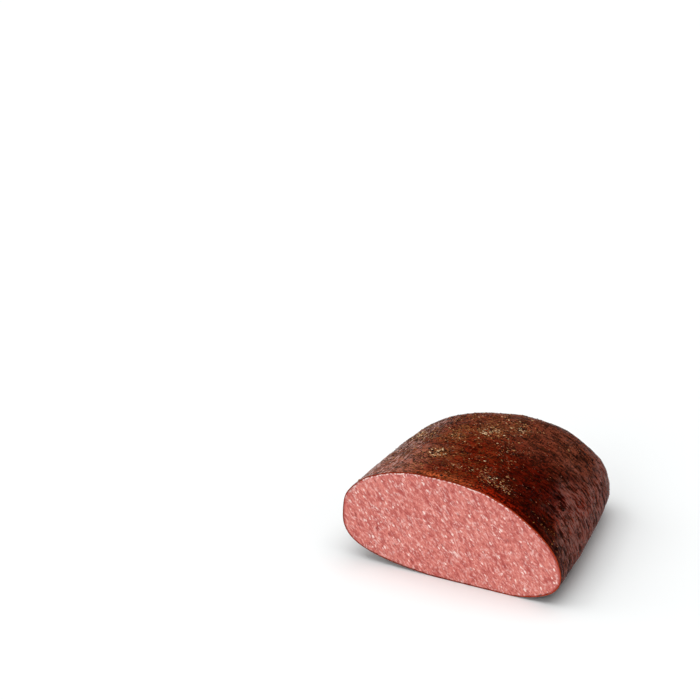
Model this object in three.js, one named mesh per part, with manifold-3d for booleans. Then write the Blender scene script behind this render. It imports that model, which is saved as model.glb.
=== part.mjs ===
// Half of a pastrami loaf: fine-minced smoked meat in a dark rind with a spice crust. It lies on
// its underside, and the cut face stands upright. Units are millimetres and +Z is up. +X runs
// across the cut face to its right end, and +Y from the cut face into the loaf.
import * as THREE from 'three';
import { mergeVertices } from 'three/addons/utils/BufferGeometryUtils.js';
import Module from 'manifold-3d';

const wasm = await Module();
wasm.setup();

// Driving dimensions of the loaf.
const WIDTH = 172;          // across the cut face, before it leans
const RISE = 46.1;          // from the widest level up to the top
const BELLY = 38.2;         // from the widest level down to the underside
const LENGTH = 147.6;       // from the cut face to the far end, along the middle
const END_ROUND = 46.6;     // the last stretch of the length, where the far end rounds off
const RESTING_FLAT = 1.2;   // how deep the underside is pressed flat where the loaf rests

// Fullness of the curves: 2 is an ellipse, and a higher value is boxier.
const TOP_FULLNESS = 2.33;
const BELLY_FULLNESS = 2.48;
const END_FULLNESS = 4.25;

// How the loaf departs from an even form, as shares of its own sizes.
const CROWN = 0.042;        // the top rises and the shoulders fall
const LEAN = 0.068;         // the section leans over its upper left and lower right
const BULGE = 0.035;        // the flanks swell between the cut face and the far end
const NARROWING = 0.165;    // the width lost by the far end
const FALL = 0.081;         // the height lost by the far end
const END_LIFT = 0.81;      // how far up the belly the middle of the far end lies
const SLANT = 0.31;         // how much farther the right flank runs than the left one

// Low relief of the rind.
const LUMP_COUNT = 14;
const LUMP_HEIGHT = 0.085;        // of one wave
const LUMP_PITCH = [15, 42];      // the shortest and the longest wave
const SMOOTH_UNDERSIDE = [3, 14]; // the relief fades out between these heights
const RELIEF_SEED = 7;

// The coarsest spices of the crust.
const GRAIN_COUNT = 120;
const GRAIN_LENGTH = [1.8, 3.2];
const GRAIN_SLIMNESS = [0.65, 0.95];  // a grain's width, as a share of its length
const GRAIN_THICKNESS = 0.7;          // its thickness, as a share of its length
const GRAIN_BURIED = 0.08;            // how deep its middle lies, as a share of its length
const GRAIN_RING = [-32, 212];        // the angles round the loaf that carry spice, in degrees
const GRAINS_ON_END = 0.24;           // the share of them that lies on the far end
const CLEAR_OF_CUT = 4;               // rind left bare behind the cut face
const CLEAR_OF_GRAINS = 4;            // between the middles of two grains
const GRAIN_SEED = 23;

// Facets of the loaf: across the top, up a flank, and along the length.
const FACETS = { across: 34, up: 18, along: 31 };
const OVERCUT = 5;          // the loaf is formed this much too long, and then cut

const STRAIGHT = LENGTH - END_ROUND;
const EDGE_OF_END = 0.5 ** (1 / END_FULLNESS);  // where flank and far end meet, as a share
const FLANK = STRAIGHT + END_ROUND * EDGE_OF_END;
const TURN = 2 * Math.PI;
const SMALL_STEP = 0.01;    // in angle and in share, to find the lie of the rind

// Even draws between 0 and 1, the same ones for the same seed.
function draws(seed) {
  let state = seed;
  return () => {
    state = (state * 16807) % 2147483647;
    return state / 2147483647;
  };
}

function between([low, high], share) {
  return low + (high - low) * share;
}

function smoothStep([low, high], value) {
  const t = Math.min(Math.max((value - low) / (high - low), 0), 1);
  return t * t * (3 - 2 * t);
}

function roundOff(value) {
  return (1 - value ** END_FULLNESS) ** (1 / END_FULLNESS);
}

// A point of the cut face's outline, measured from its widest level.
function outline(angle) {
  const c = Math.cos(angle);
  const s = Math.sin(angle);
  const blend = 0.5 + 0.5 * Math.tanh(4 * s);
  const power = 2 / (BELLY_FULLNESS + (TOP_FULLNESS - BELLY_FULLNESS) * blend);
  const reach = 1 - CROWN * Math.sin(3 * angle) - LEAN * Math.sin(2 * angle);
  const height = s < 0 ? BELLY : RISE;
  return {
    x: (WIDTH / 2) * Math.sign(c) * Math.abs(c) ** power * reach,
    z: height * Math.sign(s) * Math.abs(s) ** power * reach,
  };
}

function lowestOfOutline() {
  let lowest = 0;
  for (let degree = 180; degree < 360; degree += 1) {
    lowest = Math.min(lowest, outline(THREE.MathUtils.degToRad(degree)).z);
  }
  return lowest;
}
const UNDERSIDE = lowestOfOutline();

// A point of the smooth loaf. The share is 1 on the flanks and 0 in the middle of the far end.
function loafPoint(angle, y, share) {
  const section = outline(angle);
  const along = y / LENGTH;
  const width = 1 - NARROWING * along + BULGE * 4 * along * (1 - along);
  const height = (section.z - UNDERSIDE) * (1 - FALL * along);
  const x = section.x * width * share;
  const z = height * share + BELLY * END_LIFT * (1 - share) - RESTING_FLAT;
  return new THREE.Vector3(x, y * (1 + (SLANT * x) / WIDTH), z);
}

function flankPoint(angle, y) {
  return loafPoint(angle, y, roundOff(Math.max(0, (y - STRAIGHT) / END_ROUND)));
}

function endPoint(angle, share) {
  return loafPoint(angle, STRAIGHT + END_ROUND * roundOff(share), share);
}

// The angle round the loaf of a point of a square, even along each side of the square.
function angleOfSquare(x, z) {
  if (Math.abs(z) >= Math.abs(x)) {
    return Math.sign(z) * (TURN / 4 - (TURN / 8) * (x / Math.abs(z)));
  }
  return (x > 0 ? 0 : TURN / 2) + (TURN / 8) * (z / x);
}

// Low lumps all over the rind, the sum of waves in seeded directions.
const lumpDraw = draws(RELIEF_SEED);
const lumps = Array.from({ length: LUMP_COUNT }, () => {
  const turn = lumpDraw() * TURN;
  const rise = 2 * lumpDraw() - 1;
  const flat = Math.sqrt(1 - rise * rise);
  const wave = TURN / between(LUMP_PITCH, lumpDraw());
  const direction = new THREE.Vector3(flat * Math.cos(turn), flat * Math.sin(turn), rise);
  return { direction: direction.multiplyScalar(wave), phase: lumpDraw() * TURN };
});

function relief(point) {
  const sum = lumps.reduce((total, { direction, phase }) => (
    total + Math.sin(direction.dot(point) + phase)), 0);
  return sum * LUMP_HEIGHT * smoothStep(SMOOTH_UNDERSIDE, point.z);
}

// The same faces with one vertex at each corner.
function joined(geometry) {
  geometry.deleteAttribute('normal');
  geometry.deleteAttribute('uv');
  return mergeVertices(geometry);
}

function asSolid(geometry) {
  const { attributes, index } = joined(geometry);
  return new wasm.Manifold(new wasm.Mesh({
    numProp: 3,
    vertProperties: new Float32Array(attributes.position.array),
    triVerts: new Uint32Array(index.array),
  }));
}

function asGeometry(solid) {
  const mesh = solid.getMesh();
  const geometry = new THREE.BufferGeometry();
  geometry.setAttribute('position', new THREE.BufferAttribute(mesh.vertProperties, 3));
  geometry.setIndex(new THREE.BufferAttribute(mesh.triVerts, 1));
  return geometry;
}

// The loaf: a box of facets, rounded onto the loaf's form and pushed out and in by its lumps.
function loafBody() {
  const box = new THREE.BoxGeometry(2, 2, 2, FACETS.across, FACETS.along, FACETS.up);
  const geometry = joined(box);
  const position = geometry.attributes.position;
  const corner = new THREE.Vector3();
  for (let i = 0; i < position.count; i += 1) {
    corner.fromBufferAttribute(position, i);
    const share = Math.max(Math.abs(corner.x), Math.abs(corner.z));
    const angle = share > 0 ? angleOfSquare(corner.x, corner.z) : 0;
    const y = -OVERCUT + (FLANK + OVERCUT) * (corner.y + 1) / 2;
    let point = flankPoint(angle, Math.max(y, 0));
    point.y += Math.min(y, 0);
    if (corner.y === 1) {
      point = endPoint(angle, share * EDGE_OF_END);
    } else if (corner.y === -1) {
      point = loafPoint(angle, 0, share);
      point.y = -OVERCUT;
    }
    position.setXYZ(i, point.x, point.y, point.z);
  }
  geometry.computeVertexNormals();
  const normal = new THREE.Vector3();
  for (let i = 0; i < position.count; i += 1) {
    corner.fromBufferAttribute(position, i);
    normal.fromBufferAttribute(geometry.attributes.normal, i);
    if (corner.y > -OVERCUT) {
      corner.addScaledVector(normal, relief(corner));
    }
    position.setXYZ(i, corner.x, corner.y, corner.z);
  }
  return asSolid(geometry);
}

// A block that takes away what lies past a plane: in front of the cut face, or under the floor.
function block(x, y, z) {
  const size = 4 * WIDTH;
  const geometry = new THREE.BoxGeometry(size, size, size);
  geometry.translate((x * size) / 2, (y * size) / 2, (z * size) / 2);
  return asSolid(geometry);
}

// Where a grain lies: its foot on the rind, the way out of the loaf there, and how much rind
// a small turn round the loaf covers. The way runs from 0 at the cut face over 1, where the
// flank meets the far end, to 2 in the middle of the far end.
function seat(angle, way) {
  const at = (a, w) => (w < 1 ? flankPoint(a, w * FLANK) : endPoint(a, (2 - w) * EDGE_OF_END));
  const foot = at(angle, way);
  const round = at(angle + SMALL_STEP, way).sub(foot);
  const along = at(angle, way + SMALL_STEP).sub(foot);
  const out = along.cross(round).normalize();
  foot.addScaledVector(out, relief(foot));
  return { foot, out, breadth: round.length() / SMALL_STEP };
}

function grainSolid({ foot, out }, draw) {
  const length = between(GRAIN_LENGTH, draw() ** 2);
  const width = length * between(GRAIN_SLIMNESS, draw());
  const geometry = new THREE.IcosahedronGeometry(0.5);
  geometry.scale(length, width, length * GRAIN_THICKNESS);
  geometry.rotateZ(draw() * TURN);
  const upright = new THREE.Vector3(0, 0, 1);
  geometry.applyQuaternion(new THREE.Quaternion().setFromUnitVectors(upright, out));
  const middle = foot.clone().addScaledVector(out, -length * GRAIN_BURIED);
  geometry.translate(middle.x, middle.y, middle.z);
  return asSolid(geometry);
}

// The spice crust: coarse grains strewn over the top, the flanks and the far end.
function withSpice(loaf) {
  const draw = draws(GRAIN_SEED);
  const feet = [];
  let crusted = loaf;
  while (feet.length < GRAIN_COUNT) {
    const onEnd = draw() < GRAINS_ON_END;
    const angle = THREE.MathUtils.degToRad(between(onEnd ? [0, 360] : GRAIN_RING, draw()));
    const place = seat(angle, onEnd ? 2 - Math.sqrt(draw()) : draw());
    const even = onEnd || draw() < place.breadth / (WIDTH / 2);
    const crowded = feet.some((foot) => foot.distanceTo(place.foot) < CLEAR_OF_GRAINS);
    if (even && !crowded && place.foot.y > CLEAR_OF_CUT) {
      feet.push(place.foot);
      crusted = crusted.add(grainSolid(place, draw));
    }
  }
  return crusted;
}

const cutLoaf = loafBody().subtract(block(0, -1, 0));
const pastramiSolid = withSpice(cutLoaf).subtract(block(0, 0, -1));
const pastramiGeometry = asGeometry(pastramiSolid);
pastramiGeometry.computeBoundingBox();
const middle = pastramiGeometry.boundingBox.getCenter(new THREE.Vector3());
pastramiGeometry.translate(-middle.x, -middle.y, 0);

const rind = new THREE.MeshStandardMaterial({ color: 0x54221a, roughness: 0.45, metalness: 0 });
const pastrami = new THREE.Mesh(pastramiGeometry, rind);
pastrami.name = 'pastrami';

const part = new THREE.Group();
part.add(pastrami);

export default part;
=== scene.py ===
import math
import random

import bmesh
import bpy
import numpy as np
from bpy.props import FloatProperty, FloatVectorProperty, IntProperty, PointerProperty
from mathutils import Matrix, Vector, noise


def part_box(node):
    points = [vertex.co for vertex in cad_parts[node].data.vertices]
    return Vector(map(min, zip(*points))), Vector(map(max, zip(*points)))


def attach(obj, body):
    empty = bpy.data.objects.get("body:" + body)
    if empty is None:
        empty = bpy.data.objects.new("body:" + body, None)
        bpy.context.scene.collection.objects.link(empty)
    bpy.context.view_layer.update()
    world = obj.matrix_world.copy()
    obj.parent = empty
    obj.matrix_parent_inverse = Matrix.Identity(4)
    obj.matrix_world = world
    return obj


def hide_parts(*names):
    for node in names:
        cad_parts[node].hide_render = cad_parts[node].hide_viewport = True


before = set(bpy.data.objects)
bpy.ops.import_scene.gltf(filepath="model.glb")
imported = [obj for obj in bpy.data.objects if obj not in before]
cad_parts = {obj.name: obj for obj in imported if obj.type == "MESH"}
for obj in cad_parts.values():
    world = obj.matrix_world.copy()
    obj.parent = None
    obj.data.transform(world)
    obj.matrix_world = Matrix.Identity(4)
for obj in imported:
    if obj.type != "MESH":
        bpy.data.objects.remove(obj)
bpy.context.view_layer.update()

bl_info = {
    "name": "Half Pastrami Loaf",
    "version": (1, 0, 0),
    "blender": (4, 5, 0),
    "location": "View3D > Sidebar > Pastrami",
    "description": "Dresses half a pastrami loaf: wrinkled spiced rind, cut meat and strewn spices",
    "category": "Object",
}

NODE = "pastrami"
BODY = "root"
LOW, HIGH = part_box(NODE)
MM = 0.001
TURN = 2 * math.pi

# Scale of the pattern of the wrinkles along each axis, so that they run round the loaf.
ROUND_THE_LOAF = (0.3, 1.0, 0.3)

# Where the smooth left shoulder starts and is full: metres across, and metres back from the cut.
LEFT_SHOULDER = (-0.022, -0.042)
SHOULDER_NEAR_CUT = (0.07, 0.03)


# ---------------- settings
def size_of(default_mm, name, description):
    """A length, given in millimetres and kept in metres."""
    return FloatProperty(
        name=name, description=description, default=default_mm * MM, min=0.0, unit="LENGTH", precision=5
    )


def share_of(default, name, description):
    return FloatProperty(name=name, description=description, default=default, precision=4)


def colour_of(default, name, description):
    return FloatVectorProperty(
        name=name, description=description, default=default, size=3, min=0.0, max=1.0, subtype="COLOR"
    )


def angle_of(default_degrees, name, description):
    return FloatProperty(
        name=name, description=description, default=math.radians(default_degrees), subtype="ANGLE"
    )


def count_of(default, name, description):
    return IntProperty(name=name, description=description, default=default, min=0)


class PastramiForm(bpy.types.PropertyGroup):
    """Sizes of the loaf, the same as those of the solid it dresses"""

    width: size_of(172, "Width", "Across the cut face, before the section leans")
    rise: size_of(46.1, "Rise", "From the widest level up to the top")
    belly: size_of(38.2, "Belly", "From the widest level down to the underside")
    length: size_of(147.6, "Length", "From the cut face to the far end, along the middle")
    end_round: size_of(46.6, "End rounding", "Last stretch of the length, where the far end rounds off")
    resting_flat: size_of(1.2, "Resting flat", "How deep the underside is pressed flat")
    top_fullness: share_of(2.33, "Top fullness", "2 is an ellipse, and more is boxier")
    belly_fullness: share_of(2.48, "Belly fullness", "2 is an ellipse, and more is boxier")
    end_fullness: share_of(4.25, "End fullness", "2 is an ellipse, and more is boxier")
    crown: share_of(0.042, "Crown", "How far the top rises over the shoulders")
    lean: share_of(0.068, "Lean", "How far the section leans over its upper left")
    bulge: share_of(0.035, "Bulge", "How far the flanks swell between the two ends")
    narrowing: share_of(0.165, "Narrowing", "Share of the width lost by the far end")
    fall: share_of(0.081, "Fall", "Share of the height lost by the far end")
    end_lift: share_of(0.81, "End lift", "How far up the belly the middle of the far end lies")
    slant: share_of(0.31, "Slant", "How much farther the right flank runs than the left one")
    lump_height: size_of(0.085, "Lump height", "Height of one wave of the low lumps")
    lump_count: count_of(14, "Lump waves", "Number of waves in the low lumps")
    lump_seed: count_of(7, "Lump seed", "Seed of the low lumps")


class PastramiRind(bpy.types.PropertyGroup):
    """Relief and colours of the rind"""

    thickness: size_of(0.5, "Rind thickness", "Width of the rim round the cut meat")
    wrinkle_height: size_of(0.46, "Wrinkle height", "Height of the wrinkles that run round the loaf")
    grit_height: size_of(0.12, "Grit height", "Height of the fine unevenness of the crust")
    bare_strip: size_of(9.5, "Bare strip", "Rind with hardly any spice behind the cut face")
    warm: colour_of((0.092, 0.0065, 0.0015), "Warm mahogany", "Main colour of the rind")
    dark: colour_of((0.047, 0.0024, 0.0006), "Dark shoulder", "Rind of the right shoulder")
    flank: colour_of((0.1, 0.013, 0.005), "Right flank", "Rind of the right flank")
    # painted sheen: a pale mauve painted on the wrinkle crests of the right flank in place of a reflection
    sheen: colour_of((0.285, 0.125, 0.105), "Mauve sheen", "Crests of the wrinkles on the right flank")
    # reddish parts of the painted sheen on the right flank's crests
    blush: colour_of((0.34, 0.085, 0.055), "Blush", "Redder crests among the mauve ones")
    # spice dust with a painted greyish sheen, on the left and far off
    dust_and_sheen: colour_of((0.125, 0.03, 0.015), "Dull brown", "Spice-dusted rind on the left and far off")
    # smooth rind of the left shoulder, its pinkish paleness partly painted sheen
    left: colour_of((0.25, 0.076, 0.048), "Left shoulder", "Smooth rind left of the top, near the cut")
    # orange painted glow on the bare rind behind the top of the cut
    glow: colour_of((0.27, 0.053, 0.017), "Orange strip", "Bare rind behind the top of the cut face")
    ember: colour_of((0.16, 0.007, 0.0012), "Red strip", "Bare rind behind the right half of the cut")
    rim: colour_of((0.38, 0.042, 0.012), "Rim", "Cut edge of the rind")
    dust: colour_of((0.42, 0.17, 0.05), "Spice dust", "Finest golden bits in the crust")
    # painted highlights: pale streaks that stand in for the sheen on the left flank
    highlight_streak: colour_of((0.58, 0.35, 0.3), "Pale streaks", "Dry streaks of the left flank")
    # painted shade: nearly black, for small pits between the spices
    pit_shade: colour_of((0.004, 0.001, 0.0008), "Pits", "Dark pits between the spices")


class PastramiMeat(bpy.types.PropertyGroup):
    """Cut face of the meat"""

    proud: size_of(0.25, "Proud of the rind", "How far the meat stands out of its rind at the cut")
    edge: size_of(0.7, "Edge", "Width of the rounded edge round the cut")
    depth: size_of(4, "Depth", "How far the modelled slice of meat reaches into the loaf")
    pink: colour_of((0.71, 0.212, 0.172), "Pink", "Main colour of the cut meat")
    red: colour_of((0.43, 0.054, 0.046), "Lean red", "Leaner grain of the meat")
    fat: colour_of((1.0, 0.78, 0.72), "Fat", "Flecks of fat")
    spot: colour_of((0.27, 0.016, 0.012), "Dark spots", "Small dark red spots in the meat")
    bit: colour_of((0.03, 0.008, 0.006), "Dark bits", "Few nearly black bits in the meat")
    crumb: colour_of((0.06, 0.02, 0.012), "Crumbs", "Crumbs of crust along the bottom of the cut")


class PastramiSpice(bpy.types.PropertyGroup):
    """Spices of the crust"""

    coarse_count: count_of(120, "Coarse grains", "The grains that are also part of the solid")
    coarse_seed: count_of(23, "Coarse seed", "Seed of the coarse grains")
    gold_count: count_of(3200, "Golden flakes", "Ground coriander and mustard")
    black_count: count_of(2600, "Black grains", "Ground pepper")
    red_count: count_of(1500, "Red flakes", "Chilli and paprika flakes")
    strew_seed: count_of(5, "Strewing seed", "Seed of the fine spices")


class PastramiStudio(bpy.types.PropertyGroup):
    """Camera, floor and lights"""

    azimuth: angle_of(25.3, "Azimuth", "Camera's way round the loaf from straight in front of the cut")
    elevation: angle_of(26, "Elevation", "How far the camera looks down")
    distance: size_of(1600, "Distance", "From the camera to the loaf, along the camera's axis")
    focal_pixels: share_of(2128, "Focal length in pixels", "For a picture 700 pixels wide")
    spot_x: share_of(468.7, "Spot X", "Picture column of the reference point, in pixels")
    spot_y: share_of(508.7, "Spot Y", "Picture row of the reference point, in pixels")
    overhead: share_of(2.3, "Overhead light", "Strength of the soft light from above")
    key: share_of(1.1, "Key light", "Strength of the soft light from the left")
    fill: share_of(1.1, "Fill light", "Strength of the soft light on the cut face")
    right: share_of(0.35, "Right light", "Strength of the weak light on the right flank")
    sky: share_of(0.02, "Sky", "Even light from all round")
    floor: colour_of((0.885, 0.9, 0.9), "Floor", "Colour of the pale floor")


SETTINGS = {
    "pastrami_form": PastramiForm,
    "pastrami_rind": PastramiRind,
    "pastrami_meat": PastramiMeat,
    "pastrami_spice": PastramiSpice,
    "pastrami_studio": PastramiStudio,
}


# ---------------- numbers
def draws(seed):
    """Even draws between 0 and 1, the same ones as those of the solid for the same seed."""
    multiplier, modulus = 16807, 2**31 - 1
    state = seed
    while True:
        state = state * multiplier % modulus
        yield state / modulus


def between(low, high, share):
    return low + (high - low) * share


def smooth_step(low, high, value):
    """Smooth rise from 0 at low to 1 at high, or a fall where low is the greater one."""
    t = np.clip((value - low) / (high - low), 0.0, 1.0)
    return t * t * (3 - 2 * t)


def noise_at(points, pitch, stretch=(1, 1, 1)):
    """Noise from -1 to 1 at each point, with lumps about one pitch apart."""
    return np.array([noise.noise(place) for place in points * np.array(stretch) / pitch])


def angle_of_square(x, z):
    """The angle round the loaf of a point of a square, even along each side of the square."""
    if abs(z) >= abs(x):
        return math.copysign(TURN / 4 - TURN / 8 * x / abs(z), z) if z else 0.0
    return (0 if x > 0 else TURN / 2) + TURN / 8 * z / x


# ---------------- form of the loaf
class Loaf:
    """Points of the loaf in the frame's metres, worked out from its sizes."""

    BLEND_SHARPNESS = 4
    ROUND_SAMPLES = 361
    LENGTH_SAMPLES = 81
    LUMP_PITCH = (0.015, 0.042)
    SMOOTH_UNDERSIDE = (0.003, 0.014)
    SMALL_STEP = 0.01

    def __init__(self, form):
        self.form = form
        self.straight = form.length - form.end_round
        self.edge_of_end = 0.5 ** (1 / form.end_fullness)
        self.flank = self.straight + form.end_round * self.edge_of_end
        self.underside = self.outline(np.radians(np.arange(180, 360)))[1].min()
        self.shift = np.zeros(3)
        angles, lengths = np.meshgrid(
            np.linspace(0, TURN, self.ROUND_SAMPLES), np.linspace(0, self.flank, self.LENGTH_SAMPLES)
        )
        across = self.flank_point(angles, lengths)[..., 0]
        self.shift = np.array(((LOW.x + HIGH.x - across.min() - across.max()) / 2, LOW.y, 0))
        self.directions, self.phases = self.lump_waves()

    def outline(self, angle):
        """Points of the cut face's outline, measured from its widest level."""
        form = self.form
        c, s = np.cos(angle), np.sin(angle)
        blend = 0.5 + 0.5 * np.tanh(self.BLEND_SHARPNESS * s)
        power = 2 / (form.belly_fullness + (form.top_fullness - form.belly_fullness) * blend)
        reach = 1 - form.crown * np.sin(3 * angle) - form.lean * np.sin(2 * angle)
        height = np.where(s < 0, form.belly, form.rise)
        x = form.width / 2 * np.sign(c) * np.abs(c) ** power * reach
        return x, height * np.sign(s) * np.abs(s) ** power * reach

    def round_off(self, value):
        fullness = self.form.end_fullness
        return (1 - np.clip(value, 0, 1) ** fullness) ** (1 / fullness)

    def point(self, angle, y, share):
        """Points of the smooth loaf. The share is 1 on the flanks and 0 in the far end's middle."""
        form = self.form
        x, z = self.outline(angle)
        along = y / form.length
        width = 1 - form.narrowing * along + form.bulge * 4 * along * (1 - along)
        height = (z - self.underside) * (1 - form.fall * along)
        x = x * width * share
        y = y * (1 + form.slant * x / form.width)
        z = height * share + form.belly * form.end_lift * (1 - share) - form.resting_flat
        return np.stack(np.broadcast_arrays(x, y, z), -1) + self.shift

    def flank_point(self, angle, y):
        return self.point(angle, y, self.round_off((y - self.straight) / self.form.end_round))

    def end_point(self, angle, share):
        return self.point(angle, self.straight + self.form.end_round * self.round_off(share), share)

    def lump_waves(self):
        draw = draws(self.form.lump_seed)
        directions, phases = [], []
        for _ in range(self.form.lump_count):
            turn = next(draw) * TURN
            rise = 2 * next(draw) - 1
            flat = math.sqrt(1 - rise * rise)
            wave = TURN / between(*self.LUMP_PITCH, next(draw))
            directions.append((flat * math.cos(turn) * wave, flat * math.sin(turn) * wave, rise * wave))
            phases.append(next(draw) * TURN)
        return np.array(directions), np.array(phases)

    def relief(self, points):
        """Height of the low lumps at points of the frame."""
        at = points - self.shift
        total = np.sin(at @ self.directions.T + self.phases).sum(-1)
        return total * self.form.lump_height * smooth_step(*self.SMOOTH_UNDERSIDE, at[..., 2])

    def seat(self, angle, way):
        """Foot of a coarse grain, the way out of the loaf there, and the girth that an angle covers."""

        def at(a, w):
            if w < 1:
                return self.flank_point(a, w * self.flank)
            return self.end_point(a, (2 - w) * self.edge_of_end)

        foot = at(angle, way)
        girth = at(angle + self.SMALL_STEP, way) - foot
        along = at(angle, way + self.SMALL_STEP) - foot
        out = np.cross(along, girth)
        out /= np.linalg.norm(out)
        return foot + out * self.relief(foot), out, np.linalg.norm(girth) / self.SMALL_STEP


# Millimetres right of the middle, millimetres from the cut, reach in millimetres, and thickness.
HEAPS = (
    (22, 22, 7, 1.2),
    (35, 19, 7, 1.0),
    (-28, 41, 8, 2.0),
    (-5, 92, 8, 2.5),
    (-27, 73, 8, 1.0),
    (12, 107, 7, 1.0),
    (-60, 78, 8, 2.0),
)
LOWEST_HEAP = 0.04


def heaped_at(points):
    """How thickly the spice is heaped at points of the rind, in a few patches on the top."""
    heaped = np.zeros(len(points))
    for x, y, reach, thickness in HEAPS:
        away = np.hypot(points[:, 0] - x * MM, points[:, 1] - LOW.y - y * MM) / (reach * MM)
        heaped += thickness * np.exp(-(away**2)) * (points[:, 2] > LOWEST_HEAP)
    return heaped


# ---------------- making pieces
def finish_piece(context, mesh, material):
    """Makes an object of a mesh that rides on the loaf's body and stands for its solid."""
    piece = bpy.data.objects.new(mesh.name, mesh)
    context.scene.collection.objects.link(piece)
    mesh.materials.append(material)
    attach(piece, BODY)
    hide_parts(NODE)


def mesh_of(bm, name):
    mesh = bpy.data.meshes.new(name)
    bm.to_mesh(mesh)
    bm.free()
    return mesh


def coordinates(bm):
    return np.array([vert.co for vert in bm.verts])


def place_verts(bm, points):
    for vert, point in zip(bm.verts, points):
        vert.co = point


def shade_smooth(bm):
    for face in bm.faces:
        face.smooth = True


def store(mesh, name, values):
    """Keeps one number per point of the mesh, for its material to read."""
    mesh.attributes.new(name, "FLOAT", "POINT").data.foreach_set("value", values)


def joined_grains(name, subdivisions, frames, shades, roughen):
    """One mesh of many like grains: each has a frame, its middle and three half axes as rows."""
    bm = bmesh.new()
    bmesh.ops.create_icosphere(bm, subdivisions=subdivisions, radius=1)
    bm.verts.index_update()
    ball = coordinates(bm)
    corners = np.array([[vert.index for vert in face.verts] for face in bm.faces])
    bm.free()
    frames = np.array(frames)
    points = frames[:, None, 0] + ball @ frames[:, 1:]
    points = points + (points - frames[:, None, 0]) * roughen(points)[..., None]
    faces = corners + np.arange(len(frames))[:, None, None] * len(ball)
    mesh = bpy.data.meshes.new(name)
    mesh.from_pydata(points.reshape(-1, 3), [], faces.reshape(-1, 3))
    store(mesh, "shade", np.repeat(shades, len(ball)))
    mesh.shade_smooth()
    return mesh


# ---------------- material building blocks
class Shading:
    """A material under construction: one Principled shader and the nodes that feed it."""

    def __init__(self, name, colour, roughness=0.5, specular=0.5):
        self.material = bpy.data.materials.new(name)
        self.material.use_nodes = True
        self.tree = self.material.node_tree
        self.tree.nodes.clear()
        self.shader = self.tree.nodes.new("ShaderNodeBsdfPrincipled")
        self.add("ShaderNodeOutputMaterial", {"Surface": self.shader.outputs["BSDF"]})
        self.feed("Roughness", roughness)
        self.feed("Specular IOR Level", specular)
        self.place = self.add("ShaderNodeTexCoord")["Object"]
        self.colour = colour
        self.relief = None

    def put(self, socket, value):
        """Links an output to a socket, or sets a constant on it."""
        if isinstance(value, bpy.types.NodeSocket):
            self.tree.links.new(value, socket)
        elif socket.type == "RGBA":
            socket.default_value = (*value, 1.0)
        else:
            socket.default_value = value

    def feed(self, socket_name, value):
        self.put(self.shader.inputs[socket_name], value)

    def add(self, kind, inputs=None, **settings):
        """Adds a node, sets it up, fills its inputs and gives back its outputs."""
        node = self.tree.nodes.new(kind)
        for name, value in settings.items():
            setattr(node, name, value)
        for name, value in (inputs or {}).items():
            self.put(node.inputs[name], value)
        return node.outputs

    def finished(self):
        self.feed("Base Color", self.colour)
        return self.material

    def attribute(self, name):
        return self.add("ShaderNodeAttribute", attribute_name=name)["Fac"]

    def axes(self, source):
        parts = self.add("ShaderNodeSeparateXYZ", {"Vector": source})
        return parts["X"], parts["Y"], parts["Z"]

    def math(self, operation, first, second=0.0):
        return self.add("ShaderNodeMath", {0: first, 1: second}, operation=operation)["Value"]

    def plus(self, first, second):
        return self.math("ADD", first, second)

    def minus(self, first, second):
        return self.math("SUBTRACT", first, second)

    def times(self, *factors):
        result = factors[0]
        for factor in factors[1:]:
            result = self.math("MULTIPLY", result, factor)
        return result

    def ramp(self, value, low, high, to_low=0.0, to_high=1.0):
        """Value taken smoothly from low..high to to_low..to_high. Low may be the greater one."""
        inputs = {"Value": value, "From Min": low, "From Max": high, "To Min": to_low, "To Max": to_high}
        return self.add("ShaderNodeMapRange", inputs, interpolation_type="SMOOTHSTEP")["Result"]

    def vector(self, operation, first, second):
        return self.add("ShaderNodeVectorMath", {0: first, 1: second}, operation=operation)["Vector"]

    def scaled(self, vector, factor):
        """A place or a colour times a factor."""
        return self.add("ShaderNodeVectorMath", {0: vector, "Scale": factor}, operation="SCALE")["Vector"]

    def mapped(self, source, scale=(1, 1, 1), rotation=(0, 0, 0)):
        inputs = {"Vector": source, "Scale": scale, "Rotation": rotation}
        return self.add("ShaderNodeMapping", inputs)["Vector"]

    def warped(self, pitch, strength, source=None):
        """Coordinates pushed about by noise, so that what they carry is uneven."""
        push = self.noise(pitch, detail=1.0, source=source, output="Color")
        push = self.vector("SUBTRACT", push, (0.5, 0.5, 0.5))
        return self.vector("ADD", source or self.place, self.scaled(push, strength))

    def noise(self, pitch, detail=2.0, roughness=0.55, source=None, output="Fac"):
        """Noise with lumps about one pitch apart, in metres."""
        inputs = {"Scale": 1 / pitch, "Detail": detail, "Roughness": roughness}
        return self.add("ShaderNodeTexNoise", {"Vector": source or self.place, **inputs})[output]

    def threads(self, noise, thin, thick):
        """Thin lines where the noise crosses its middle value."""
        return self.ramp(self.math("ABSOLUTE", self.minus(noise, 0.5)), thin, thick, 1.0, 0.0)

    def dots(self, pitch, small, large, source=None):
        """Dots about one pitch apart, as shares of it, and a random share for each of them."""
        cells = self.add("ShaderNodeTexVoronoi", {"Vector": source or self.place, "Scale": 1 / pitch})
        chance = self.add("ShaderNodeSeparateColor", {"Color": cells["Color"]})["Red"]
        return self.ramp(cells["Distance"], small, large, 1.0, 0.0), chance

    def mix(self, share, first, second):
        """First where the share is 0 and second where it is 1."""
        return self.add("ShaderNodeMix", {0: share, 6: first, 7: second}, data_type="RGBA")[2]

    def paint(self, share, colour):
        """Paints over the colour so far."""
        self.colour = self.mix(share, self.colour, colour)

    def shade(self, factor):
        self.colour = self.scaled(self.colour, factor)

    def bump(self, height, distance, strength):
        """Adds a layer of fine relief, with its height in metres."""
        inputs = {"Height": height, "Distance": distance, "Strength": strength}
        if self.relief is not None:
            inputs["Normal"] = self.relief
        self.relief = self.add("ShaderNodeBump", inputs)["Normal"]
        self.feed("Normal", self.relief)


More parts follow.
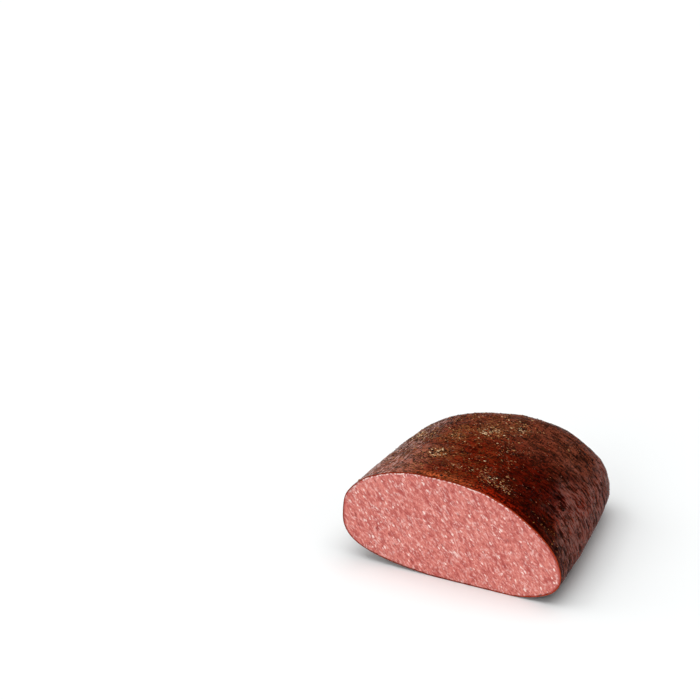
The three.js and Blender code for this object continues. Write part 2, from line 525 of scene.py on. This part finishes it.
# ---------------- materials
class RindShading(Shading):
    """The rind, with the places (in metres) and patterns that its layers share."""

    def __init__(self, rind):
        super().__init__("Smoked_rind", rind.warm, specular=0.008)
        self.x, y, self.z = self.axes(self.place)
        self.from_cut = self.minus(y, LOW.y)
        self.ridge = self.attribute("ridge")
        self.girthwise = self.mapped(self.warped(0.006, 0.003), scale=ROUND_THE_LOAF)
        self.patches = self.noise(0.009, detail=3.0, roughness=0.6)
        self.creases = self.noise(0.0022, detail=3.0, roughness=0.65, source=self.girthwise)
        self.fine = self.noise(0.0015, roughness=0.6)
        self.wander = self.times(self.minus(self.noise(0.03), 0.5), 0.05)
        self.wandered = self.plus(self.x, self.wander)
        grain = self.plus(self.times(self.creases, 0.35), self.times(self.fine, 0.4))
        self.mottle = self.plus(self.times(self.patches, 0.25), grain)
        uneven = self.times(self.minus(self.patches, 0.5), 0.012)
        strip = rind.bare_strip
        self.bare = self.ramp(self.plus(self.from_cut, uneven), strip * 0.5, strip * 1.3, 1.0, 0.0)
        self.spiced = self.ramp(self.bare, 0.0, 0.9, 1.0, 0.15)
        near_cut = self.ramp(self.from_cut, 0.03, 0.01)
        self.near_rim = self.times(self.ramp(self.x, 0.045, 0.062), near_cut)


def paint_grounds(s, rind):
    """Mahogany, darker on the right shoulder, with spice dust and painted sheen far off and on the left,
    and paler with painted sheen on the left shoulder.
    """
    ends = s.ramp(s.x, 0.062, 0.078, 1.0, 0.0)
    s.paint(s.times(s.ramp(s.wandered, 0.01, 0.045), ends), rind.dark)
    s.paint(s.ramp(s.wandered, 0.06, 0.085), rind.flank)
    # spice dust and painted sheen far off and on the left
    far = s.ramp(s.plus(s.from_cut, s.wander), 0.055, 0.12)
    left = s.ramp(s.wandered, -0.005, -0.055)
    high = s.ramp(s.z, 0.02, 0.06)
    s.paint(s.times(s.math("MAXIMUM", far, left), high, 0.9), rind.dust_and_sheen)
    # the left shoulder near the cut: smooth rind, paler with painted sheen
    across, near_cut = s.ramp(s.x, *LEFT_SHOULDER), s.ramp(s.from_cut, *SHOULDER_NEAR_CUT)
    s.paint(s.times(across, near_cut, s.ramp(s.z, 0.03, 0.05), 0.85), rind.left)


def paint_bare_strip(s, rind):
    """Bare rind behind the cut face, with an orange painted glow on the left and red on the right."""
    starts = s.ramp(s.x, -0.038, -0.016, 0.1, 1.0)
    fades = s.ramp(s.x, 0.025, 0.065, 0.9, 0.3)
    # the orange of the painted glow, turning to the rind's own red on the right
    colour = s.mix(s.ramp(s.x, -0.005, 0.03), rind.glow, rind.ember)
    grainy = s.scaled(colour, s.ramp(s.fine, 0.4, 0.62, 0.5, 1.25))
    s.paint(s.times(s.bare, starts, fades), grainy)


def paint_mottling(s):
    """Lighter and darker rind, painted shade in the furrows and painted light on the ridges, and dark rind
    by the right end of the rim.
    """
    s.shade(s.ramp(s.mottle, 0.41, 0.59, 0.2, 1.7))
    # painted shade in the furrows and painted light on the ridges of the wrinkles
    s.shade(s.ramp(s.ridge, -0.2, 0.8, 0.4, 1.3))
    s.shade(s.minus(1.0, s.times(s.near_rim, 0.6)))


def paint_flank_sheen(s, rind):
    """Painted sheen on the crests of the right flank, mauve and reddish in places, which starts farther
    right near the cut.
    """
    lines = s.noise(0.0013, roughness=0.6, source=s.girthwise)
    crests = s.ramp(s.plus(s.times(s.ridge, 0.25), lines), 0.52, 0.8)
    set_back = s.ramp(s.from_cut, 0.0, 0.05, -0.018, 0.0)
    on_flank = s.ramp(s.plus(s.wandered, set_back), 0.055, 0.075)
    crests = s.times(crests, on_flank, s.ramp(s.patches, 0.3, 0.55, 0.4, 1.0))
    reddish = s.ramp(s.noise(0.0055, source=s.girthwise), 0.5, 0.62)
    colour = s.mix(s.times(reddish, 0.6), rind.sheen, rind.blush)
    # the painted sheen on the crests
    s.paint(s.times(crests, 0.85), colour)
    return crests


def paint_golden_dust(s, rind):
    """Threads of spice dust in clusters, and dust where the spice is heaped."""
    uneven = s.mapped(s.warped(0.002, 0.0012), scale=(0.6, 1, 0.6))
    thread = s.threads(s.noise(0.0024, detail=1.0, source=uneven), 0.012, 0.04)
    clusters = s.ramp(s.noise(0.012), 0.36, 0.62)
    bright = s.ramp(s.x, -0.02, 0.025, 0.45, 0.06)
    s.paint(s.times(thread, clusters, s.spiced, bright), rind.dust)
    grainy = s.ramp(s.fine, 0.42, 0.6)
    s.paint(s.times(s.attribute("dusted"), grainy, 0.4), rind.dust)
    return thread


def paint_highlight_streaks(s, rind):
    """Painted highlights in streaks that run lengthwise on the left flank, which is darker between them."""
    along = s.mapped(s.warped(0.006, 0.003), scale=(1, 0.14, 1))
    lines = s.ramp(s.noise(0.0015, detail=3.0, roughness=0.6, source=along), 0.49, 0.61)
    start, full = -0.035, -0.055
    across, high = s.ramp(s.x, start, full), s.ramp(s.z, 0.03, 0.06)
    streaks = s.times(lines, across, high, s.ramp(s.patches, 0.35, 0.55, 0.4, 1.0))
    s.shade(s.ramp(s.x, start, full, 1.0, 0.75))
    # the painted highlight streaks
    s.paint(s.times(streaks, 0.72), rind.highlight_streak)
    return streaks


def paint_pit_shade_and_glints(s, rind):
    """Painted shade in black pits all over, and golden dots on the dark rind by the right end of the rim,
    partly spice and partly painted glints.
    """
    pits, chance = s.dots(0.0022, 0.22, 0.36, source=s.warped(0.004, 0.0012))
    pits = s.times(pits, s.math("LESS_THAN", chance, 0.35), s.spiced)
    # painted shade in the pits
    s.paint(s.times(pits, 0.9), rind.pit_shade)
    specks_and_glints, chance = s.dots(0.0021, 0.16, 0.3, source=s.warped(0.003, 0.001))
    specks_and_glints = s.times(specks_and_glints, s.math("GREATER_THAN", chance, 0.78), s.near_rim)
    # golden specks and painted glints on the dark rind by the right end of the rim
    s.paint(s.times(specks_and_glints, 0.75), rind.dust)
    return pits


def paint_cut_rim(s, rind):
    """The cut edge of the rind, brighter on the right."""
    brightens = s.ramp(s.x, 0.0, 0.06)
    colour = s.mix(brightens, s.scaled(rind.rim, 0.6), rind.rim)
    s.paint(s.ramp(s.from_cut, 0.0002, 0.0009, 1.0, 0.0), colour)


def rind_material(rind):
    """Moist dark rind, each layer painted over the last."""
    s = RindShading(rind)
    paint_grounds(s, rind)
    paint_bare_strip(s, rind)
    paint_mottling(s)
    crests = paint_flank_sheen(s, rind)
    thread = paint_golden_dust(s, rind)
    streaks = paint_highlight_streaks(s, rind)
    pits = paint_pit_shade_and_glints(s, rind)
    paint_cut_rim(s, rind)
    s.feed("Roughness", s.ramp(s.mottle, 0.42, 0.58, 0.28, 0.14))
    s.bump(s.creases, 0.001, 0.9)
    s.bump(crests, 0.0003, 0.6)
    s.bump(s.fine, 0.0004, 0.5)
    s.bump(streaks, 0.0003, 0.5)
    s.bump(s.times(thread, s.spiced), 0.0002, 0.6)
    s.bump(s.times(pits, -1.0), 0.0003, 0.7)
    return s.finished()


class MeatShading(Shading):
    """The cut meat, with the grain that its layers share. All of it leans one way."""

    LEAN = math.radians(-53)
    STRETCH = (0.42, 1, 1)
    # pitch of the flecks in metres, share of them left out, and reach as a share of the pitch
    FLECKS = ((0.0018, 0.8, 0.33), (0.0026, 0.8, 0.31), (0.0045, 0.82, 0.2))

    def __init__(self, meat):
        super().__init__("Cut_meat", meat.red, specular=0.35)
        lean_way = self.mapped(self.warped(0.005, 0.0022), rotation=(0, self.LEAN, 0))
        self.grain = self.mapped(self.warped(0.0012, 0.0005, source=lean_way), scale=self.STRETCH)
        self.soft = self.noise(0.003, detail=3.0, roughness=0.6, source=self.grain)
        self.fine = self.noise(0.0013, roughness=0.6, source=self.grain)


def paint_mince(s, meat):
    """Pink mince over lean red, with its palest and reddest bits."""
    s.paint(s.ramp(s.soft, 0.33, 0.53, 0.3, 1.0), meat.pink)
    lean = s.ramp(s.noise(0.0065, source=s.grain), 0.52, 0.66)
    s.paint(s.times(lean, 0.3), meat.red)
    s.paint(s.times(s.ramp(s.fine, 0.52, 0.66), 0.4), meat.fat)
    s.paint(s.times(s.ramp(s.fine, 0.46, 0.35), 0.65), meat.red)


def paint_fat(s, meat):
    """Flecks of fat in three sizes, in loose clusters, and a few curls."""
    flecks = 0.0
    for pitch, left_out, reach in s.FLECKS:
        dots, chance = s.dots(pitch, reach * 0.7, reach, source=s.grain)
        kept = s.ramp(chance, left_out, left_out + 0.02)
        flecks = s.math("MAXIMUM", flecks, s.times(dots, kept))
    flecks = s.times(flecks, s.ramp(s.noise(0.008), 0.38, 0.56, 0.35, 1.0))
    s.paint(s.times(flecks, 0.95), meat.fat)
    curls = s.threads(s.noise(0.0048, detail=1.0, source=s.grain), 0.006, 0.02)
    here_and_there = s.ramp(s.noise(0.0082, detail=1.0), 0.62, 0.68)
    s.paint(s.times(curls, here_and_there, 0.7), meat.fat)
    return flecks


def paint_dark_bits(s, meat):
    """Small dark red spots, few nearly black bits, and broad redder patches."""
    spots, chance = s.dots(0.0035, 0.12, 0.24, source=s.grain)
    s.paint(s.times(spots, s.math("GREATER_THAN", chance, 0.8), 0.7), meat.spot)
    bits, chance = s.dots(0.007, 0.05, 0.09)
    s.paint(s.times(bits, s.math("GREATER_THAN", chance, 0.88), 0.85), meat.bit)
    s.paint(s.ramp(s.noise(0.02), 0.35, 0.65, 0.0, 0.12), meat.red)


def paint_edge(s, meat):
    """Redder edge, with a painted highlight in the fat's colour along the top, in pieces, and crumbs of
    crust at the bottom.
    """
    height = s.axes(s.place)[2]
    outwards = s.attribute("outwards")
    edge = s.ramp(outwards, 0.975, 0.988)
    s.paint(s.times(edge, 0.65), meat.red)
    # a painted highlight along the top edge of the cut, in the fat's colour
    broken_highlight, high = s.ramp(s.noise(0.0025), 0.45, 0.6), s.ramp(height, 0.045, 0.06)
    s.paint(s.times(edge, broken_highlight, high, 0.85), meat.fat)
    crumbs = s.times(s.ramp(outwards, 0.965, 0.98), s.ramp(s.noise(0.003), 0.5, 0.58))
    s.paint(s.times(crumbs, s.ramp(height, 0.014, 0.006), 0.85), meat.crumb)


def meat_material(meat):
    """Fine-minced pink meat, painted in layers like the rind."""
    s = MeatShading(meat)
    paint_mince(s, meat)
    flecks = paint_fat(s, meat)
    paint_dark_bits(s, meat)
    paint_edge(s, meat)
    s.feed("Roughness", s.ramp(flecks, 0.0, 1.0, 0.55, 0.38))
    s.bump(s.soft, 0.0003, 0.4)
    s.bump(s.fine, 0.0004, 0.5)
    s.bump(flecks, 0.0001, 0.6)
    return s.finished()


def grain_material(name, colours, roughness, gloss):
    """Grains whose shade attribute picks a colour between the given ones."""
    softness = 0.06
    s = Shading(name, colours[0], roughness, gloss)
    shade = s.attribute("shade")
    for step, following in enumerate(colours[1:], start=1):
        middle = step / len(colours)
        s.paint(s.ramp(shade, middle - softness, middle + softness), following)
    speckle = s.noise(0.0006, detail=1.0)
    s.paint(s.ramp(speckle, 0.45, 0.65, 0.0, 0.5), colours[0])
    s.bump(speckle, 0.0002, 0.4)
    return s.finished()


# ---------------- pieces
class PASTRAMI_OT_rind(bpy.types.Operator):
    """Models the loaf in its rind, with its lumps, wrinkles and grit"""

    bl_idname = "pastrami.rind"
    bl_label = "Loaf in its rind"

    CUTS = (139, 149, 119)
    ON_END = 0.999
    WRINKLE_PITCH = 0.0031
    WRINKLE_SHARPNESS = 2.2
    WRINKLES_ON_LEFT = 0.3
    GRIT_PITCH = 0.0026
    # metres across, back from the cut and up
    RIGHT = (0.01, 0.07)
    BEHIND_RIM = (0.0, 0.004)
    OFF_UNDERSIDE = (0.002, 0.012)
    DUSTED_BEHIND = (0.02, 0.045)

    def execute(self, context):
        loaf = Loaf(context.scene.pastrami_form)
        rind = context.scene.pastrami_rind
        bm = self.open_box()
        place_verts(bm, self.rounded(loaf, coordinates(bm)))
        bm.normal_update()
        smooth = coordinates(bm)
        out = np.array([vert.normal for vert in bm.verts])
        height, ridge = self.height(loaf, rind, smooth)
        points = smooth + out * height[:, None]
        rim = [edge for edge in bm.edges if edge.is_boundary]
        rim_verts = sorted({vert.index for edge in rim for vert in edge.verts})
        points[rim_verts, 1] = LOW.y
        points[:, 1:] = np.maximum(points[:, 1:], (LOW.y, 0))
        place_verts(bm, points)
        shade_smooth(bm)
        bmesh.ops.edgeloop_fill(bm, edges=rim)
        for edge in rim:
            edge.smooth = False
        bmesh.ops.recalc_face_normals(bm, faces=bm.faces)
        mesh = mesh_of(bm, "pastrami_loaf")
        store(mesh, "ridge", ridge)
        behind_cut = points[:, 1] - LOW.y
        dusted = np.minimum(heaped_at(points), 1) * smooth_step(*self.DUSTED_BEHIND, behind_cut)
        store(mesh, "dusted", dusted)
        finish_piece(context, mesh, rind_material(rind))
        return {"FINISHED"}

    def open_box(self):
        """A finely cut box that is open towards the cut face."""
        bm = bmesh.new()
        bmesh.ops.create_cube(bm, size=2)
        for axis, cuts in enumerate(self.CUTS):
            across = [e for e in bm.edges if abs(e.verts[0].co[axis] - e.verts[1].co[axis]) > 1]
            bmesh.ops.subdivide_edges(bm, edges=across, cuts=cuts, use_grid_fill=True)
        front = [f for f in bm.faces if all(v.co.y < -self.ON_END for v in f.verts)]
        bmesh.ops.delete(bm, geom=front, context="FACES")
        bm.verts.index_update()
        return bm

    def rounded(self, loaf, corners):
        """Points of the loaf for the points of the box that it is rounded from."""
        share = np.abs(corners[:, (0, 2)]).max(1)
        angle = np.array([angle_of_square(x, z) for x, _, z in corners])
        flank = loaf.flank_point(angle, loaf.flank * (corners[:, 1] + 1) / 2)
        far_end = loaf.end_point(angle, share * loaf.edge_of_end)
        return np.where(corners[:, 1:2] > self.ON_END, far_end, flank)

    def height(self, loaf, rind, points):
        """Height of the relief (low lumps, wrinkles round the loaf and fine grit), and its ridges."""
        valleys = np.abs(noise_at(points, self.WRINKLE_PITCH, ROUND_THE_LOAF))
        wrinkle = 1 - self.WRINKLE_SHARPNESS * valleys
        grit = noise_at(points, self.GRIT_PITCH)
        right = smooth_step(*self.RIGHT, points[:, 0])
        calm = smooth_step(*self.BEHIND_RIM, points[:, 1] - LOW.y)
        calm = calm * smooth_step(*self.OFF_UNDERSIDE, points[:, 2])
        ridged = wrinkle * between(self.WRINKLES_ON_LEFT, 1, right)
        fine = ridged * rind.wrinkle_height + grit * rind.grit_height
        ridge = ridged * calm + self.WRINKLES_ON_LEFT * (1 - calm * right)
        return loaf.relief(points) + calm * fine, ridge


class PASTRAMI_OT_meat(bpy.types.Operator):
    """Models the cut face of the meat, a slice set into the rind"""

    bl_idname = "pastrami.meat"
    bl_label = "Cut meat"

    GRID = (240, 120)
    # height and pitch in metres
    SWELLS = (0.00015, 0.006)
    GRAIN = (0.00006, 0.0016)
    # power of the way outwards, so that the cut is even at its edge alone
    EVEN_AT_EDGE = 12
    TAPER = 0.02
    UNEVEN_RIM = 0.7
    UNEVEN_RIM_PITCH = 0.0035

    def execute(self, context):
        loaf = Loaf(context.scene.pastrami_form)
        meat, rind = context.scene.pastrami_meat, context.scene.pastrami_rind
        middle = loaf.point(0.0, 0.0, 0.0)
        bm = bmesh.new()
        bmesh.ops.create_grid(bm, x_segments=self.GRID[0], y_segments=self.GRID[1], size=1)
        flat = coordinates(bm)
        share = np.abs(flat[:, :2]).max(1)
        angle = np.array([angle_of_square(x, y) for x, y, _ in flat])
        points = middle + (self.inset_outline(loaf, angle, rind.thickness) - middle) * share[:, None]
        uneven = sum(height * noise_at(points, pitch) for height, pitch in (self.SWELLS, self.GRAIN))
        points[:, 1] = LOW.y - meat.proud + uneven * (1 - share**self.EVEN_AT_EDGE)
        place_verts(bm, points)
        outwards = bm.verts.layers.float.new("outwards")
        for vert, value in zip(bm.verts, share):
            vert[outwards] = value
        self.give_depth(bm, meat, Vector(middle))
        shade_smooth(bm)
        finish_piece(context, mesh_of(bm, "pastrami_cut_face"), meat_material(meat))
        return {"FINISHED"}

    def give_depth(self, bm, meat, middle):
        """Walls that taper into the loaf, a back, and a rounded edge round the cut."""
        rim = [edge for edge in bm.edges if edge.is_boundary]
        walls = bmesh.ops.extrude_edge_only(bm, edges=rim)["geom"]
        for vert in (v for v in walls if isinstance(v, bmesh.types.BMVert)):
            inwards = (middle - vert.co) * self.TAPER
            vert.co += Vector((inwards.x, meat.depth, inwards.z))
        back = [e for e in walls if isinstance(e, bmesh.types.BMEdge) and e.is_boundary]
        bmesh.ops.edgeloop_fill(bm, edges=back)
        bmesh.ops.recalc_face_normals(bm, faces=bm.faces)
        bmesh.ops.bevel(
            bm, geom=rim, offset=meat.edge, segments=3, profile=0.5, affect="EDGES", material=-1
        )

    def inset_outline(self, loaf, angle, thickness):
        """Points of the cut's outline, moved into the loaf by the rind's uneven thickness."""
        points = loaf.flank_point(angle, 0.0)
        ahead = loaf.flank_point(angle + loaf.SMALL_STEP, 0.0) - points
        inwards = np.stack((-ahead[:, 2], 0 * ahead[:, 1], ahead[:, 0]), -1)
        uneven = 1 + self.UNEVEN_RIM * noise_at(points, self.UNEVEN_RIM_PITCH)
        inset = thickness * uneven - loaf.relief(points)
        points = points + inwards / np.linalg.norm(inwards, axis=1)[:, None] * inset[:, None]
        points[:, 2] = np.maximum(points[:, 2], thickness)
        return points


class PASTRAMI_OT_coarse_grains(bpy.types.Operator):
    """Sets the coarse grains of the crust, on the same seats as those of the solid"""

    bl_idname = "pastrami.coarse_grains"
    bl_label = "Coarse grains"

    # degrees round the flanks that carry grains, and the share of the grains on the far end
    RING = (-32, 212)
    ON_END = 0.24
    CLEAR_OF_CUT = 0.004
    CLEAR_OF_GRAINS = 0.004
    LENGTH = (0.0018, 0.0032)
    SLIMNESS = (0.65, 0.95)
    THICKNESS = 0.7
    BURIED = 0.08
    SUBDIVISIONS = 2
    CRAG_HEIGHT = 0.25
    CRAG_PITCH = 0.0007
    COLOURS = ((0.02, 0.006, 0.004), (0.06, 0.014, 0.007), (0.12, 0.03, 0.012), (0.3, 0.13, 0.05))
    ROUGHNESS = 0.45
    GLOSS = 0.08

    def execute(self, context):
        spice = context.scene.pastrami_spice
        loaf = Loaf(context.scene.pastrami_form)
        draw = draws(spice.coarse_seed)
        rng = random.Random(spice.coarse_seed)
        feet, frames, shades = [], [], []
        while len(feet) < spice.coarse_count:
            on_end = next(draw) < self.ON_END
            ring = (0, 360) if on_end else self.RING
            angle = math.radians(between(*ring, next(draw)))
            foot, out, girth = loaf.seat(angle, 2 - math.sqrt(next(draw)) if on_end else next(draw))
            even = on_end or next(draw) < girth / (loaf.form.width / 2)
            crowded = any(np.linalg.norm(other - foot) < self.CLEAR_OF_GRAINS for other in feet)
            if not even or crowded or foot[1] - LOW.y <= self.CLEAR_OF_CUT:
                continue
            feet.append(foot)
            frames.append(self.grain_frame(foot, out, draw))
            shades.append(rng.random())
        mesh = joined_grains("spice_coarse", self.SUBDIVISIONS, frames, shades, self.crags)
        material = grain_material("Coarse_grains", self.COLOURS, self.ROUGHNESS, self.GLOSS)
        finish_piece(context, mesh, material)
        return {"FINISHED"}

    def grain_frame(self, foot, out, draw):
        """Middle and half axes of a grain that lies on its foot, turned about the way out."""
        length = between(*self.LENGTH, next(draw) ** 2)
        width = length * between(*self.SLIMNESS, next(draw))
        turned = Matrix.Rotation(next(draw) * TURN, 3, "Z")
        upright = Vector((0, 0, 1)).rotation_difference(Vector(out)).to_matrix()
        axes = np.array((upright @ turned).transposed())
        half = np.array(((length,), (width,), (length * self.THICKNESS,))) / 2
        return np.vstack((foot - out * length * self.BURIED, axes * half))

    def crags(self, points):
        return self.CRAG_HEIGHT * noise_at(points.reshape(-1, 3), self.CRAG_PITCH).reshape(points.shape[:2])


class Strewing:
    """Where the fine spices lie on the rind: in clusters, sparse on the bare strip and right flank."""

    # metres across, and metres up
    TO_RIGHT = (0.01, 0.05)
    OFF_UNDERSIDE = (0.004, 0.02)
    # spread of a flake's turn and tilt, in radians
    TURN_SPREAD = 0.6
    TILT_SPREAD = 0.2
    # powers of an even draw, so that most flakes are small and dark
    MOSTLY_SMALL = 2.2
    MOSTLY_DARK = 1.3
    RAISED = 0.1
    RAGGED = 0.15
    ROUGHNESS = 0.4

    def __init__(self, rind):
        mesh = bpy.data.objects["pastrami_loaf"].data
        areas = self.of_faces(mesh, "area", 1)[:, 0]
        self.centres = self.of_faces(mesh, "center", 3)
        self.normals = self.of_faces(mesh, "normal", 3)
        cluster = noise_at(self.centres, 0.018) + 0.6 * noise_at(self.centres, 0.007)
        from_cut = self.centres[:, 1] - LOW.y + 0.004 * noise_at(self.centres, 0.01)
        self.bare = 1 - smooth_step(rind.bare_strip * 0.6, rind.bare_strip * 1.4, from_cut)
        to_right = smooth_step(*self.TO_RIGHT, self.centres[:, 0])
        on_left = smooth_step(*LEFT_SHOULDER, self.centres[:, 0])
        on_left = on_left * smooth_step(*SHOULDER_NEAR_CUT, from_cut)
        heaped = heaped_at(self.centres)
        thickness = 0.06 + 0.6 * smooth_step(-0.15, 0.6, cluster)
        thickness = thickness * (1 - 0.9 * to_right) * (1 - 0.7 * on_left) + heaped
        # shade scale of each flake: darker on the right half as painted shade, and whiter in the heaps as
        # painted glints
        self.bright = np.maximum(0.8 - 0.3 * to_right, 1.4 * np.minimum(heaped, 1))
        # the cut face, by far the largest face, carries no spice
        areas[areas.argmax()] = 0
        self.weights = thickness * smooth_step(*self.OFF_UNDERSIDE, self.centres[:, 2]) * areas

    @staticmethod
    def of_faces(mesh, name, size):
        values = np.empty(len(mesh.polygons) * size)
        mesh.polygons.foreach_get(name, values)
        return values.reshape(-1, size)

    def strew(self, context, name, count, seed, kind):
        """One kind of flake or grain as one piece."""
        length_mm, slimness, flatness, on_bare, gloss, colours = kind
        rng = random.Random(seed)
        ladder = np.cumsum(self.weights * (1 - self.bare * (1 - on_bare)))
        frames, shades = [], []
        for _ in range(count):
            spot = int(np.searchsorted(ladder, rng.random() * ladder[-1]))
            frames.append(self.flake_frame(spot, length_mm, slimness, flatness, rng))
            shades.append(rng.random() ** self.MOSTLY_DARK * self.bright[spot])
        jitter = np.random.default_rng(seed)

        def ragged(points):
            return jitter.normal(0, self.RAGGED, points.shape[:2])

        mesh = joined_grains(name, 1, frames, shades, ragged)
        material = grain_material(name.capitalize(), colours, self.ROUGHNESS, gloss)
        finish_piece(context, mesh, material)

    def flake_frame(self, spot, length_mm, slimness, flatness, rng):
        """Middle and half axes of a flake, mostly laid the way that the wrinkles run."""
        out = Vector(self.normals[spot])
        girth = Vector((0, 1, 0)).cross(out).normalized()
        girth.rotate(Matrix.Rotation(rng.gauss(0, self.TURN_SPREAD), 3, out))
        side = out.cross(girth)
        out = (out + side * rng.gauss(0, self.TILT_SPREAD)).normalized()
        side = out.cross(girth).normalized()
        length = between(*length_mm, rng.random() ** self.MOSTLY_SMALL) * MM
        width = length * between(*slimness, rng.random())
        middle = Vector(self.centres[spot]) + out * length * flatness * self.RAISED
        return np.array((middle, girth * length / 2, side * width / 2, out * length * flatness / 2))


class PASTRAMI_OT_fine_spices(bpy.types.Operator):
    """Strews the golden, black and red fine spices over the rind"""

    bl_idname = "pastrami.fine_spices"
    bl_label = "Fine spices"

    # the last, whitish gold stands partly for painted glints on the flakes
    GOLD = ((0.16, 0.035, 0.01), (0.3, 0.09, 0.022), (0.5, 0.24, 0.075), (0.9, 0.66, 0.38))
    BLACK = ((0.006, 0.003, 0.002), (0.014, 0.006, 0.004), (0.03, 0.009, 0.005))
    RED = ((0.14, 0.014, 0.004), (0.26, 0.034, 0.008), (0.36, 0.07, 0.015))
    # length in millimetres, width and thickness as shares of it, share on the bare strip, gloss, colours
    KINDS = {
        "spice_gold": ((0.8, 2.4), (0.35, 0.65), 0.25, 0.06, 0.4, GOLD),
        "spice_black": ((0.7, 1.9), (0.5, 0.9), 0.4, 0.2, 0.03, BLACK),
        "spice_red": ((0.7, 2.2), (0.3, 0.7), 0.25, 0.3, 0.1, RED),
    }

    def execute(self, context):
        spice = context.scene.pastrami_spice
        counts = (spice.gold_count, spice.black_count, spice.red_count)
        crust = Strewing(context.scene.pastrami_rind)
        for step, (name, count) in enumerate(zip(self.KINDS, counts)):
            crust.strew(context, name, count, spice.strew_seed + step, self.KINDS[name])
        return {"FINISHED"}


# ---------------- stage
class PASTRAMI_OT_studio(bpy.types.Operator):
    """Sets the pale floor, the soft lights and the camera"""

    bl_idname = "pastrami.studio"
    bl_label = "Studio"

    PICTURE = 700
    SENSOR = 36.0
    FARTHEST_SEEN = 50
    # the reference point, in metres from the foot of the cut's middle
    REFERENCE = (0.0, 0.040, 0.040)
    FLOOR_REACH = 8.0
    FLOOR_GAP = 0.0002
    # setting that holds the strength, then turn, elevation and spread in degrees
    LIGHTS = (
        ("overhead", -170, 86, 72),
        ("key", -104, 38, 55),
        ("fill", -42, 23, 45),
        ("right", 60, 30, 60),
    )

    def execute(self, context):
        context.scene.view_settings.view_transform = "Standard"
        studio = context.scene.pastrami_studio
        self.floor(context, studio)
        self.sky(context, studio)
        for name, turn, elevation, spread in self.LIGHTS:
            self.soft_sun(context, studio, name, turn, elevation, spread)
        self.camera(context, studio)
        return {"FINISHED"}

    def floor(self, context, studio):
        bm = bmesh.new()
        bmesh.ops.create_grid(bm, x_segments=1, y_segments=1, size=self.FLOOR_REACH)
        bmesh.ops.translate(bm, verts=bm.verts, vec=(0, 0, -self.FLOOR_GAP))
        mesh = mesh_of(bm, "studio_floor")
        floor = bpy.data.objects.new(mesh.name, mesh)
        context.scene.collection.objects.link(floor)
        mesh.materials.append(Shading("Pale_floor", studio.floor, roughness=0.9, specular=0.0).finished())

    def sky(self, context, studio):
        world = bpy.data.worlds.new("Studio_world")
        world.use_nodes = True
        background = world.node_tree.nodes["Background"]
        background.inputs["Color"].default_value = (1, 1, 1, 1)
        background.inputs["Strength"].default_value = studio.sky
        context.scene.world = world

    def soft_sun(self, context, studio, name, turn, elevation, spread):
        """A soft light from far off, its turn counted from the camera's own way round the loaf."""
        around = studio.azimuth + math.radians(turn)
        up = math.radians(elevation)
        way = Vector((math.sin(around) * math.cos(up), -math.cos(around) * math.cos(up), math.sin(up)))
        light = bpy.data.lights.new(name.capitalize(), "SUN")
        light.angle = math.radians(spread)
        light.energy = getattr(studio, name)
        lamp = bpy.data.objects.new(light.name, light)
        lamp.location = way
        lamp.rotation_euler = way.to_track_quat("Z", "Y").to_euler()
        context.scene.collection.objects.link(lamp)

    def camera(self, context, studio):
        """Aims beside the loaf, so that it stands right of and below the middle of the picture."""
        a, e = studio.azimuth, studio.elevation
        right = Vector((math.cos(a), math.sin(a), 0))
        ahead = Vector((-math.sin(a) * math.cos(e), math.cos(a) * math.cos(e), -math.sin(e)))
        up = right.cross(ahead)
        reference = Vector(Loaf(context.scene.pastrami_form).shift) + Vector(self.REFERENCE)
        across = (studio.spot_x - self.PICTURE / 2) / studio.focal_pixels * studio.distance
        down = (studio.spot_y - self.PICTURE / 2) / studio.focal_pixels * studio.distance
        lens = bpy.data.cameras.new("Camera")
        lens.sensor_width = self.SENSOR
        lens.lens = studio.focal_pixels / self.PICTURE * self.SENSOR
        lens.clip_end = self.FARTHEST_SEEN
        camera = bpy.data.objects.new("Camera", lens)
        camera.location = reference - ahead * studio.distance - right * across + up * down
        camera.rotation_euler = Matrix((right, up, -ahead)).transposed().to_euler()
        context.scene.collection.objects.link(camera)
        context.scene.camera = camera


OPERATORS = (
    PASTRAMI_OT_rind,
    PASTRAMI_OT_meat,
    PASTRAMI_OT_coarse_grains,
    PASTRAMI_OT_fine_spices,
    PASTRAMI_OT_studio,
)


class PASTRAMI_PT_panel(bpy.types.Panel):
    """Lists the loaf's pieces in the sidebar"""

    bl_label = "Half Pastrami Loaf"
    bl_idname = "PASTRAMI_PT_panel"
    bl_space_type = "VIEW_3D"
    bl_region_type = "UI"
    bl_category = "Pastrami"

    def draw(self, context):
        for operator in OPERATORS:
            self.layout.operator(operator.bl_idname)
        for name, group in SETTINGS.items():
            box = self.layout.box()
            box.label(text=group.__doc__)
            for prop in group.__annotations__:
                box.prop(getattr(context.scene, name), prop)


CLASSES = (*SETTINGS.values(), *OPERATORS, PASTRAMI_PT_panel)


def register():
    for item in CLASSES:
        bpy.utils.register_class(item)
    for name, group in SETTINGS.items():
        setattr(bpy.types.Scene, name, PointerProperty(type=group))


def unregister():
    for name in SETTINGS:
        delattr(bpy.types.Scene, name)
    for item in reversed(CLASSES):
        bpy.utils.unregister_class(item)


def main():
    register()
    bpy.ops.pastrami.rind()
    bpy.ops.pastrami.meat()
    bpy.ops.pastrami.coarse_grains()
    bpy.ops.pastrami.fine_spices()
    bpy.ops.pastrami.studio()


if __name__ == "__main__":
    main()
